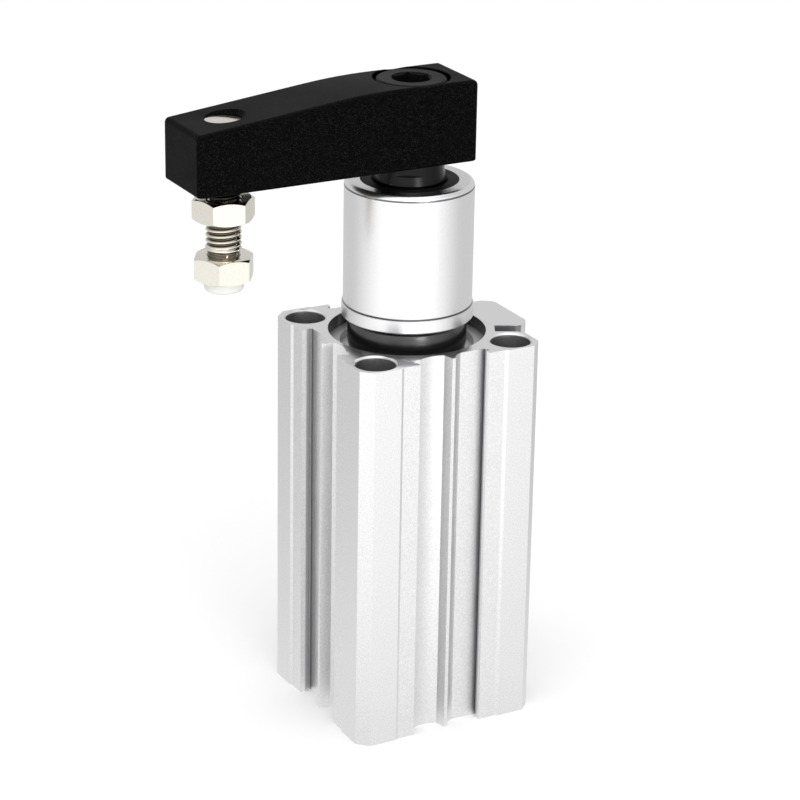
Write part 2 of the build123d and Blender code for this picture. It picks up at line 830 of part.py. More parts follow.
# Arm screw with hexagon socket
with BuildPart() as arm_screw:
    head_radius = screw_head_diameter / 2
    rim_foot = (head_radius, screw_head_top - screw_head_edge)
    rim_top = (head_radius - screw_head_edge, screw_head_top)
    with BuildSketch(Plane.XZ):
        with BuildLine():
            Polyline(
                (0, screw_seat - screw_length),
                (screw_diameter / 2 - screw_end_chamfer, screw_seat - screw_length),
                (screw_diameter / 2, screw_seat - screw_length + screw_end_chamfer),
                (screw_diameter / 2, screw_seat + seat_gap),
                (head_radius, screw_seat + seat_gap),
                rim_foot,
            )
            RadiusArc(rim_foot, rim_top, -screw_head_edge)
            Polyline(rim_top, (0, screw_head_top), (0, screw_seat - screw_length))
        make_face()
    revolve(axis=Axis.Z)
    with BuildSketch(Plane.XY.offset(screw_head_top)):
        RegularPolygon(screw_socket_flats / 2, 6, major_radius=False, rotation=screw_socket_angle)
    extrude(amount=-screw_socket_depth, mode=Mode.SUBTRACT)
    socket_corner = screw_socket_flats / 2 / cos(radians(30))
    with Locations((0, 0, screw_head_top)):
        Cone(
            socket_corner - screw_socket_lead,
            socket_corner,
            screw_socket_lead,
            align=(Align.CENTER, Align.CENTER, Align.MAX),
            mode=Mode.SUBTRACT,
        )
arm_screw.part.label = "arm_screw"
export_step(arm_screw.part, "parts/arm_screw.step")

# Clamp bolt, head down, with a pocket for the pad
bolt_x = -arm_centres
bolt_axis = Axis((bolt_x, 0, 0), (0, 0, 1))
with BuildPart() as clamp_bolt:
    add(hex_blank(bolt_flats, bolt_head_foot, bolt_head_height, bolt_head_angle, bolt_x))
    with BuildSketch(upright_plane(bolt_x)):
        bolt_end = bolt_head_top + bolt_length
        with BuildLine():
            Polyline(
                (0, bolt_head_top - cut_margin),
                (bolt_neck_radius, bolt_head_top - cut_margin),
                (bolt_neck_radius, bolt_head_top + bolt_neck_length - bolt_neck_slope),
                (bolt_diameter / 2, bolt_head_top + bolt_neck_length),
                (bolt_diameter / 2, bolt_end - bolt_end_chamfer),
                (bolt_diameter / 2 - bolt_end_chamfer, bolt_end),
                (0, bolt_end),
                close=True,
            )
        make_face()
    revolve(axis=bolt_axis)
    with Locations((bolt_x, 0, bolt_head_foot)):
        Cylinder(
            pad_stem_radius + seat_gap,
            pad_stem_height + seat_gap,
            align=(Align.CENTER, Align.CENTER, Align.MIN),
            mode=Mode.SUBTRACT,
        )
clamp_bolt.part.label = "clamp_bolt"
export_step(clamp_bolt.part, "parts/clamp_bolt.step")

# Lock nut
with BuildPart() as lock_nut:
    add(hex_blank(nut_flats, nut_foot, nut_thickness, nut_angle, bolt_x))
    with Locations((bolt_x, 0, nut_foot)):
        Cylinder(
            bolt_diameter / 2 + thread_gap,
            nut_thickness,
            align=(Align.CENTER, Align.CENTER, Align.MIN),
            mode=Mode.SUBTRACT,
        )
lock_nut.part.label = "lock_nut"
export_step(lock_nut.part, "parts/lock_nut.step")

# Pad: rounded disc with a stem in the head of the bolt
with BuildPart() as bolt_pad:
    with BuildSketch(upright_plane(bolt_x)):
        disc_top = bolt_head_foot - seat_gap
        round_start = (pad_radius - pad_round, pad_foot)
        round_end = (pad_radius, pad_foot + pad_round)
        with BuildLine():
            Line((0, pad_foot), round_start)
            RadiusArc(round_start, round_end, -pad_round)
            Polyline(
                round_end,
                (pad_radius, disc_top),
                (pad_stem_radius, disc_top),
                (pad_stem_radius, bolt_head_foot + pad_stem_height),
                (0, bolt_head_foot + pad_stem_height),
                (0, pad_foot),
            )
        make_face()
    revolve(axis=bolt_axis)
bolt_pad.part.label = "bolt_pad"
export_step(bolt_pad.part, "parts/bolt_pad.step")
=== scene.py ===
# %% [markdown]
# A swing clamp cylinder in a plain studio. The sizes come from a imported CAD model, which is
# loaded as a fixed frame: its pieces are dressed here and never moved. Everything is in
# metres. The origin is the centre of the body's foot, +Z points up the rod, and the arm
# points along -X.

# %% Load the CAD frame
import bmesh
import bpy
import json
from math import cos, radians, sin
from mathutils import Matrix, Vector


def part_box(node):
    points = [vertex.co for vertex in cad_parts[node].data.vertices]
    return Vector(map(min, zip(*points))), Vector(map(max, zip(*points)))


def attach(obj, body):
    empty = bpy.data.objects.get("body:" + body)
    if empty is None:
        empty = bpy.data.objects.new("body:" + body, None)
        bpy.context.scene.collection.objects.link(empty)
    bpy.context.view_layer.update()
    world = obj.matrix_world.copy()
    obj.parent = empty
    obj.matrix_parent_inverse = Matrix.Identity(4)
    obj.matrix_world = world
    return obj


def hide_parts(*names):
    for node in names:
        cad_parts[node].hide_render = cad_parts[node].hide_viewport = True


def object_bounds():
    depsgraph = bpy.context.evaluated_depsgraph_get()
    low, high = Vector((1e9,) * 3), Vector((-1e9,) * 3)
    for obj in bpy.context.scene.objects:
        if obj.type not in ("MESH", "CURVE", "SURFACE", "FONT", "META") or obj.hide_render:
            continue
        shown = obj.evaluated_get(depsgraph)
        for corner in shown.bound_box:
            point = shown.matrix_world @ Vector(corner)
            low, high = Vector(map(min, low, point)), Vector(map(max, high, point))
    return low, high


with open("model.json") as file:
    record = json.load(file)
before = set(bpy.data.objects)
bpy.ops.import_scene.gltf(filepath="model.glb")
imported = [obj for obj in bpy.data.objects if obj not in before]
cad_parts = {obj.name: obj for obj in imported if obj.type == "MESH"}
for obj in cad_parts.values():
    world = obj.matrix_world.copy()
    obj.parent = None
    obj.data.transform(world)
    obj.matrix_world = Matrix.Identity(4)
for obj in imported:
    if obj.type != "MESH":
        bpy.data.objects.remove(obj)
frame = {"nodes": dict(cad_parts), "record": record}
cad_low, cad_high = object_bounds()
nodes = frame["nodes"]
print("nodes", len(nodes), "box in mm", [round(1000 * v, 2) for v in cad_high - cad_low])

# %% [markdown]
# The camera comes first, because every later choice is judged through it. It stands where the
# photograph was taken from: left of the wide front face, and about 21 degrees above it. The
# place is given by two angles, a distance and a small roll, which are easier to read and to
# change than a matrix. It is a long lens, so the upright edges hardly lean.

# %% The camera at the photograph's view
azimuth = radians(28.855)
elevation = radians(21.262)
roll = radians(0.996)
distance = 0.64787
lens_mm = 128.34
target_height = 0.07302
target_side = -0.00126

back = Vector((-sin(azimuth) * cos(elevation), -cos(azimuth) * cos(elevation), sin(elevation)))
right = Vector((cos(azimuth), -sin(azimuth), 0))
up = back.cross(right)
camera_x = right * cos(roll) + up * sin(roll)
camera_y = -right * sin(roll) + up * cos(roll)
camera_place = Vector((0, 0, target_height)) + right * target_side + back * distance
camera_turn = Matrix((camera_x, camera_y, back)).transposed().to_4x4()

scene = bpy.context.scene
camera = bpy.data.objects.new("camera", bpy.data.cameras.new("camera"))
scene.collection.objects.link(camera)
camera.data.sensor_width = 36
camera.data.lens = lens_mm
camera.data.clip_start = 0.01
camera.data.clip_end = 20
camera.matrix_world = Matrix.Translation(camera_place) @ camera_turn
scene.camera = camera
print("camera at", [round(v, 4) for v in camera.matrix_world.translation])

# %% [markdown]
# The room, the finishes and the bolt's thread are all node trees, and they keep asking for the
# same few steps: make a node, join two sockets, do one sum. Each of these helpers makes one
# such step, so that a tree further down reads as a list of what it works out.

# %% Helpers for node trees
def link(tree, start, end):
    """Join an output socket to an input socket."""
    tree.links.new(start, end)


def add_node(tree, kind, **inputs):
    """A node of that kind, with the named inputs set."""
    node = tree.nodes.new(kind)
    for name, value in inputs.items():
        node.inputs[name.replace("_", " ")].default_value = value
    return node


def math_node(tree, operation, first, second=0.0, third=None, clamp=False):
    """The result of a Math node, whose first two inputs are sockets or numbers."""
    node = tree.nodes.new("ShaderNodeMath")
    node.operation = operation
    node.use_clamp = clamp
    for place, value in enumerate((first, second)):
        if isinstance(value, (int, float)):
            node.inputs[place].default_value = value
        else:
            link(tree, value, node.inputs[place])
    if third is not None:
        node.inputs[2].default_value = third
    return node.outputs[0]


def vector_node(tree, operation, vector, fixed=None):
    """A Vector Math node on a socket, with a fixed second vector where it needs one."""
    node = tree.nodes.new("ShaderNodeVectorMath")
    node.operation = operation
    link(tree, vector, node.inputs[0])
    if fixed:
        node.inputs[1].default_value = fixed
    return node


def split_xyz(tree, vector):
    """The X, Y and Z of a vector socket."""
    node = tree.nodes.new("ShaderNodeSeparateXYZ")
    link(tree, vector, node.inputs[0])
    return node.outputs["X"], node.outputs["Y"], node.outputs["Z"]


def distance_in_plan(tree, x, y):
    """How far a place is from the Z axis, from its X and Y."""
    x_squared = math_node(tree, "MULTIPLY", x, x)
    y_squared = math_node(tree, "MULTIPLY", y, y)
    return math_node(tree, "SQRT", math_node(tree, "ADD", x_squared, y_squared))


print("helpers: link, add_node, math_node, vector_node, split_xyz, distance_in_plan")

# %% [markdown]
# Bright metal has hardly any colour of its own: it shows what stands round it. So the studio
# is a room of soft light, and not a few hard lamps. Seen from above, the upright faces of the
# body mirror the floor: the wide one the floor in front, the narrow one the floor behind. The
# room is therefore brightest in front, a little to the camera's left, and falls off towards
# the back, in the world and in the floor alike. To the camera itself both are plain white.

# %% Studio: view transform and world
scene.view_settings.view_transform = "Standard"

bright_side = (-0.55, -0.835, 0)
back_share, front_share = -0.2, 0.9
back_level, front_level = 0.7, 1.36
white = (1, 1, 1, 1)


def front_to_back(tree, vector):
    """Brightness of the room in a direction: its share towards the bright side, as a socket."""
    flat = vector_node(tree, "MULTIPLY", vector, (1, 1, 0))
    unit = vector_node(tree, "NORMALIZE", flat.outputs[0])
    share = vector_node(tree, "DOT_PRODUCT", unit.outputs[0], bright_side)
    level = add_node(tree, "ShaderNodeMapRange", From_Min=back_share, From_Max=front_share,
                     To_Min=back_level, To_Max=front_level)
    link(tree, share.outputs["Value"], level.inputs["Value"])
    return level.outputs[0]


world = bpy.data.worlds.new("studio")
scene.world = world
world.use_nodes = True
sky = world.node_tree
sky.nodes.clear()
direction = add_node(sky, "ShaderNodeTexCoord")
seen = add_node(sky, "ShaderNodeLightPath")
to_lit = add_node(sky, "ShaderNodeBackground", Color=white)
link(sky, front_to_back(sky, direction.outputs["Generated"]), to_lit.inputs["Strength"])
to_camera = add_node(sky, "ShaderNodeBackground", Color=white, Strength=1.0)
by_viewer = add_node(sky, "ShaderNodeMixShader")
link(sky, seen.outputs["Is Camera Ray"], by_viewer.inputs[0])
link(sky, to_lit.outputs[0], by_viewer.inputs[1])
link(sky, to_camera.outputs[0], by_viewer.inputs[2])
world_out = add_node(sky, "ShaderNodeOutputWorld")
link(sky, by_viewer.outputs[0], world_out.inputs[0])
print("room level", back_level, "at the back and", front_level, "in front")

# %% [markdown]
# The floor is matte paint to the camera and keeps the object's shadow. In reflections it
# shines like the room does: a Light Path node tells the two kinds of look apart. Close to the
# part it keeps one even level, so that all faces mirror the same level at their foot. A Mix
# node holds its two numbers in inputs 2 and 3, and its two colours in inputs 6 and 7.

# %% Studio: floor
floor_half = 3.0
foot_level = 0.9
foot_near, foot_far = 0.03, 0.2

corners = [(x * floor_half, y * floor_half, 0) for x, y in ((-1, -1), (1, -1), (1, 1), (-1, 1))]
floor_mesh = bpy.data.meshes.new("floor")
floor_mesh.from_pydata(corners, [], [(0, 1, 2, 3)])
floor = bpy.data.objects.new("floor", floor_mesh)
scene.collection.objects.link(floor)

floor_white = bpy.data.materials.new("floor_white")
floor_white.use_nodes = True
paint = floor_white.node_tree
matte = paint.nodes["Principled BSDF"]
matte.inputs["Base Color"].default_value = (0.95, 0.95, 0.95, 1)
matte.inputs["Roughness"].default_value = 0.9
floor_place = add_node(paint, "ShaderNodeTexCoord").outputs["Object"]
from_foot = vector_node(paint, "LENGTH", floor_place)
away = add_node(paint, "ShaderNodeMapRange", From_Min=foot_near, From_Max=foot_far, To_Min=0.0, To_Max=1.0)
link(paint, from_foot.outputs["Value"], away.inputs["Value"])
floor_level = add_node(paint, "ShaderNodeMix")
floor_level.inputs[2].default_value = foot_level
link(paint, away.outputs[0], floor_level.inputs[0])
link(paint, front_to_back(paint, floor_place), floor_level.inputs[3])
mirrored = add_node(paint, "ShaderNodeEmission")
link(paint, floor_level.outputs[0], mirrored.inputs["Strength"])
looker = add_node(paint, "ShaderNodeLightPath")
by_looker = add_node(paint, "ShaderNodeMixShader")
link(paint, looker.outputs["Is Glossy Ray"], by_looker.inputs[0])
link(paint, matte.outputs[0], by_looker.inputs[1])
link(paint, mirrored.outputs[0], by_looker.inputs[2])
link(paint, by_looker.outputs[0], paint.nodes["Material Output"].inputs["Surface"])
floor_mesh.materials.append(floor_white)
print("floor", 2 * floor_half, "m wide")

# %% [markdown]
# Three soft lamps add a little direction to the even room. One stands high in front and one
# hangs above. The third is low and wide and serves one reflection only: the highlight on the
# black rubber ring under the cover's skirt. Large, weak lamps keep the shadows soft.

# %% Three soft lamps
lamps = {
    "front_lamp": dict(place=(-0.25, -0.95, 0.7), watts=1.4, width=0.7, height=0.7),
    "top_lamp": dict(place=(0.1, 0.1, 1.1), watts=2.0, width=0.8, height=0.8),
    "low_lamp": dict(place=(-0.02, -1.1, 0.2), watts=2.2, width=0.3, height=0.1),
}


def soft_lamp(name, place, watts, width, height):
    """Put an area lamp of that width and height at place, turned to the middle of the object."""
    lamp = bpy.data.objects.new(name, bpy.data.lights.new(name, "AREA"))
    scene.collection.objects.link(lamp)
    lamp.data.energy = watts
    lamp.data.shape = "RECTANGLE"
    lamp.data.size = width
    lamp.data.size_y = height
    lamp.location = place
    middle = (cad_low + cad_high) / 2
    lamp.rotation_mode = "QUATERNION"
    lamp.rotation_quaternion = (middle - Vector(place)).to_track_quat("-Z", "Y")


for lamp_name, settings in lamps.items():
    soft_lamp(lamp_name, **settings)

# %% [markdown]
# Five effects are shared by several finishes, so each is a node group with its own inputs. A
# group puts out only a mask or a height, and the material decides what to do with it. All of
# them read Object coordinates, which stay on the piece when it moves. The first three describe
# a surface: a fine grain with its specks, the rings that turning leaves, and uneven handling.
# In each, given stands for the group's inputs and wanted for its outputs.

# %% Shared effects: grain, turned rings and handling
def effect(name, inputs, outputs):
    """An empty shader node group: its tree, its input sockets and its output sockets."""
    tree = bpy.data.node_groups.new(name, "ShaderNodeTree")
    tree.interface.new_socket("Vector", in_out="INPUT", socket_type="NodeSocketVector")
    for socket, value in inputs.items():
        made = tree.interface.new_socket(socket, in_out="INPUT", socket_type="NodeSocketFloat")
        made.default_value = value
    for socket in outputs:
        tree.interface.new_socket(socket, in_out="OUTPUT", socket_type="NodeSocketFloat")
    return tree, tree.nodes.new("NodeGroupInput").outputs, tree.nodes.new("NodeGroupOutput").inputs


def noise(tree, vector, scale, detail):
    """A noise texture's value, with its place and its scale given as sockets."""
    node = add_node(tree, "ShaderNodeTexNoise", Detail=detail)
    link(tree, vector, node.inputs["Vector"])
    link(tree, scale, node.inputs["Scale"])
    return node.outputs[0]


speck_contrast = 8.0
fine_grain, given, wanted = effect("fine_grain", {"Scale": 3000.0, "Threshold": 0.6}, ["Height", "Specks"])
grain = noise(fine_grain, given["Vector"], given["Scale"], 3.0)
above = math_node(fine_grain, "SUBTRACT", grain, given["Threshold"])
specks = math_node(fine_grain, "MULTIPLY", above, speck_contrast, clamp=True)
link(fine_grain, grain, wanted["Height"])
link(fine_grain, specks, wanted["Specks"])

turned_lines, given, wanted = effect("turned_lines", {"Scale": 4000.0}, ["Height"])
x, y, z = split_xyz(turned_lines, given["Vector"])
radius_and_height = add_node(turned_lines, "ShaderNodeCombineXYZ")
link(turned_lines, distance_in_plan(turned_lines, x, y), radius_and_height.inputs["X"])
link(turned_lines, z, radius_and_height.inputs["Z"])
rings = noise(turned_lines, radius_and_height.outputs[0], given["Scale"], 2.0)
link(turned_lines, rings, wanted["Height"])

handling, given, wanted = effect("handling", {"Scale": 60.0}, ["Smudge"])
link(handling, noise(handling, given["Vector"], given["Scale"], 4.0), wanted["Smudge"])
print("effects", [g.name for g in bpy.data.node_groups])

# %% [markdown]
# The other two effects are masks for places that light hardly reaches: near an axis, such as
# the mouth of the bore, and in the slits and holes of the extruded body. In an even, bright
# room they would come out paler than on the real object. A mask that finds them by their
# coordinates lets a material paint them darker, without any extra piece. Three sides have a
# groove, with its slits equally far from the middle, so one rule on the absolute X and Y finds
# them all. The fourth side, +X, has slots beside its port boss, with a rule of their own.

# %% Shared effects: masks for hidden places
slit_middle, slit_reach = 0.0092, 0.0011
slit_end, slit_fade = 0.0211, 0.0006
slot_middle, slot_half = 0.0092, 0.0024
slot_start, slot_end = 0.0188, 0.0245
hole_fade = 0.0001

# A mask for painted shade near an axis: the bore's mouth and the bolt's thread valleys.
shade_near_axis, given, wanted = effect("shade_near_axis", {"Radius": 0.018, "Fade": 0.0005, "Top": 1.0}, ["Mask"])
x, y, z = split_xyz(shade_near_axis, given["Vector"])
within = math_node(shade_near_axis, "SUBTRACT", given["Radius"], distance_in_plan(shade_near_axis, x, y))
inside = math_node(shade_near_axis, "DIVIDE", within, given["Fade"], clamp=True)
under_top = math_node(shade_near_axis, "LESS_THAN", z, given["Top"])
link(shade_near_axis, math_node(shade_near_axis, "MULTIPLY", inside, under_top), wanted["Mask"])

recess_sizes = {"Pitch": 0.034, "Hole": 0.0046, "Top": 0.09}
recesses, given, wanted = effect("recesses", recess_sizes, ["Slits", "Holes"])
x, y, z = split_xyz(recesses, given["Vector"])
under_top = math_node(recesses, "LESS_THAN", z, given["Top"])
from_x = math_node(recesses, "ABSOLUTE", x)
from_y = math_node(recesses, "ABSOLUTE", y)
out_to_face = math_node(recesses, "MAXIMUM", from_x, from_y)
along_face = math_node(recesses, "MINIMUM", from_x, from_y)
from_slit = math_node(recesses, "ABSOLUTE", math_node(recesses, "SUBTRACT", along_face, slit_middle))
slit_share = math_node(recesses, "DIVIDE", from_slit, slit_reach)
in_slit = math_node(recesses, "SUBTRACT", 1.0, slit_share, clamp=True)
under_face = math_node(recesses, "SUBTRACT", slit_end, out_to_face)
deep_in = math_node(recesses, "DIVIDE", under_face, slit_fade, clamp=True)
groove_slit = math_node(recesses, "MULTIPLY", in_slit, deep_in)
past_start = math_node(recesses, "GREATER_THAN", x, slot_start)
before_end = math_node(recesses, "LESS_THAN", x, slot_end)
beside_boss = math_node(recesses, "COMPARE", from_y, slot_middle, slot_half)
slot_length = math_node(recesses, "MULTIPLY", past_start, before_end)
side_slot = math_node(recesses, "MULTIPLY", slot_length, beside_boss)
any_slit = math_node(recesses, "MAXIMUM", groove_slit, side_slot)
link(recesses, math_node(recesses, "MULTIPLY", any_slit, under_top), wanted["Slits"])

half_pitch = math_node(recesses, "DIVIDE", given["Pitch"], 2.0)
hole_x = math_node(recesses, "SUBTRACT", from_x, half_pitch)
hole_y = math_node(recesses, "SUBTRACT", from_y, half_pitch)
within = math_node(recesses, "SUBTRACT", given["Hole"], distance_in_plan(recesses, hole_x, hole_y))
in_hole = math_node(recesses, "DIVIDE", within, hole_fade, clamp=True)
link(recesses, math_node(recesses, "MULTIPLY", in_hole, under_top), wanted["Holes"])
print("effects", [g.name for g in bpy.data.node_groups])

# %% [markdown]
# Each finish is a Principled shader whose colour and roughness are carried between two values
# by a mask, with a Bump node for the fine relief. One function makes them all, so a finish is
# a few settings that say how it differs from the others. Plain paint can be laid over it. Near
# its axis, in the recesses and in most bands round the piece it is painted shade; the band under
# the cover's rim is a painted dark reflection. From a height up a finish can take another colour
# and roughness: a top face its own, the rod's end a painted near black for shade and reflection.
# In the recesses the painted shade stops just under the body's top face, or that face would take
# it on too.

# %% The function for a finish
body_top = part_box("cylinder_body")[1].z
under_body_top = body_top - 0.0001
# Painted shade: dark grey in the slits and slots of the body, a paler grey in its holes.
slit_shade_grey = (0.22, 0.22, 0.23)
hole_shade_grey = (0.42, 0.42, 0.43)
smudge_low, smudge_high = 0.3, 0.7


def place_effect(tree, group, vector, **values):
    """A shared effect placed in a material, with its own values."""
    node = tree.nodes.new("ShaderNodeGroup")
    node.node_tree = group
    link(tree, vector, node.inputs["Vector"])
    for name, value in values.items():
        node.inputs[name].default_value = value
    return node


def colour_mix(tree, mask, colour):
    """A Mix node for colours that gives this colour where the mask is 1."""
    node = add_node(tree, "ShaderNodeMix")
    node.data_type = "RGBA"
    node.inputs[7].default_value = (*colour, 1)
    link(tree, mask, node.inputs[0])
    return node


def paint_over(tree, under, colour, mask):
    """Lay a plain colour over the colour under, where the mask is 1."""
    layer = colour_mix(tree, mask, colour)
    link(tree, under, layer.inputs[6])
    return layer.outputs[2]


def finish(name, dark, light, metallic, rough, relief, depth, mask="Height", axis=(0, 0, 0), gloss=0.5,
           core=None, recessed=False, upper=None, lines=(), **relief_values):
    """A finish between two colours and two roughnesses, with relief from one of the effects.

    With core, a radius, a width of fade, a colour and a top, the finish takes that colour near its
    axis below that top, as painted shade. With upper, a height, a colour and a roughness, it takes
    those from there up, without relief. Each of lines, a height, half a width and a colour, is a
    painted dark band round it there, for shade or for a dark reflection. A recessed finish takes
    painted shade in the slits and holes of the extrusion.
    """
    material = bpy.data.materials.new(name)
    material.use_nodes = True
    tree = material.node_tree
    shader = tree.nodes["Principled BSDF"]
    shader.inputs["Metallic"].default_value = metallic
    shader.inputs["Specular IOR Level"].default_value = gloss
    place = add_node(tree, "ShaderNodeTexCoord").outputs["Object"]
    height = split_xyz(tree, place)[2]
    mapping = add_node(tree, "ShaderNodeMapping", Location=[-v for v in axis])
    link(tree, place, mapping.inputs["Vector"])
    centred = mapping.outputs[0]
    surface = place_effect(tree, relief, centred, **relief_values)
    hands = place_effect(tree, handling, centred)
    ground = colour_mix(tree, surface.outputs[mask], light)
    ground.inputs[6].default_value = (*dark, 1)
    colour = ground.outputs[2]
    # Painted shade near the axis.
    if core:
        radius, fade, tint, top = core
        axis_shade_mask = place_effect(tree, shade_near_axis, centred, Radius=radius, Fade=fade, Top=top)
        colour = paint_over(tree, colour, tint, axis_shade_mask.outputs["Mask"])
    # Painted shade in the slits and holes of the extrusion.
    if recessed:
        hidden = place_effect(tree, recesses, centred, Top=under_body_top)
        colour = paint_over(tree, colour, slit_shade_grey, hidden.outputs["Slits"])
        colour = paint_over(tree, colour, hole_shade_grey, hidden.outputs["Holes"])
    # Painted bands round the piece, for shade and for a dark reflection.
    for middle, half_width, tint in lines:
        on_painted_band = math_node(tree, "COMPARE", height, middle, half_width)
        colour = paint_over(tree, colour, tint, on_painted_band)
    worn = add_node(tree, "ShaderNodeMapRange", From_Min=smudge_low, From_Max=smudge_high,
                    To_Min=rough[0], To_Max=rough[1])
    link(tree, hands.outputs["Smudge"], worn.inputs["Value"])
    roughness = worn.outputs[0]
    bump = add_node(tree, "ShaderNodeBump", Distance=depth)
    link(tree, surface.outputs["Height"], bump.inputs["Height"])
    if upper:
        upper_foot, tint, upper_roughness = upper
        on_top = math_node(tree, "GREATER_THAN", height, upper_foot)
        colour = paint_over(tree, colour, tint, on_top)
        smoother = add_node(tree, "ShaderNodeMapRange", From_Min=0.0, From_Max=1.0, To_Max=upper_roughness)
        link(tree, on_top, smoother.inputs["Value"])
        link(tree, roughness, smoother.inputs["To Min"])
        roughness = smoother.outputs[0]
        link(tree, math_node(tree, "SUBTRACT", 1.0, on_top), bump.inputs["Strength"])
    link(tree, colour, shader.inputs["Base Color"])
    link(tree, roughness, shader.inputs["Roughness"])
    link(tree, bump.outputs[0], shader.inputs["Normal"])
    return material


print("recesses are painted up to", round(1000 * under_body_top, 2), "mm")

# %% [markdown]
# Most of the paint starts or stops at an edge of the object, so its heights are taken from the
# CAD pieces' boxes. The painted shade in the groove at the cover's skirt has no edge to go by and
# keeps a height of its own; the dark line just under the cover's rim is a painted reflection. The
# rod's end above the cover is painted near black, as painted shade and reflection. The thread
# between the lock nut and the arm stands in a gap of 3 mm, which little light reaches, so it is
# painted dark as shade; left bright it would be mirrored in the nut's top.

# %% Heights for the paint
face_skin = 0.00005
gap_shade_lift = 0.0002
gap_shade_spare = 0.00015
bolt_x = -0.0453
bolt_axis = (bolt_x, 0, 0)
nut_foot, nut_top = (corner.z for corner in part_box("lock_nut"))
arm_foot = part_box("clamp_arm")[0].z
gap_shade_middle = (nut_top + arm_foot) / 2 + gap_shade_lift
gap_shade_half = (arm_foot - nut_top) / 2 + gap_shade_spare
cover_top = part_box("rod_cover")[1].z
skirt_shade_line = 0.0972
rim_reflection_line = cover_top - 0.00115
rod_shade_foot = cover_top - 0.0003
print("body's top", round(1000 * body_top, 2), "cover's top", round(1000 * cover_top, 2), "mm")
print("gap from nut to arm", round(1000 * (arm_foot - nut_top), 2), "mm")

# %% [markdown]
# Now the finishes, one for each material slot of the CAD model. Colours run from dark to light
# along the relief's own mask, rough gives the two roughnesses, and depth is the height of the
# relief in metres. The body is satin aluminium and its cover is smoother. The arm is black
# with fine, paler specks. The bolt and its nut are nickel, a metal with a slightly warm colour,
# and the pad is white plastic. What is hidden inside is a guess from what such parts are
# usually made of.

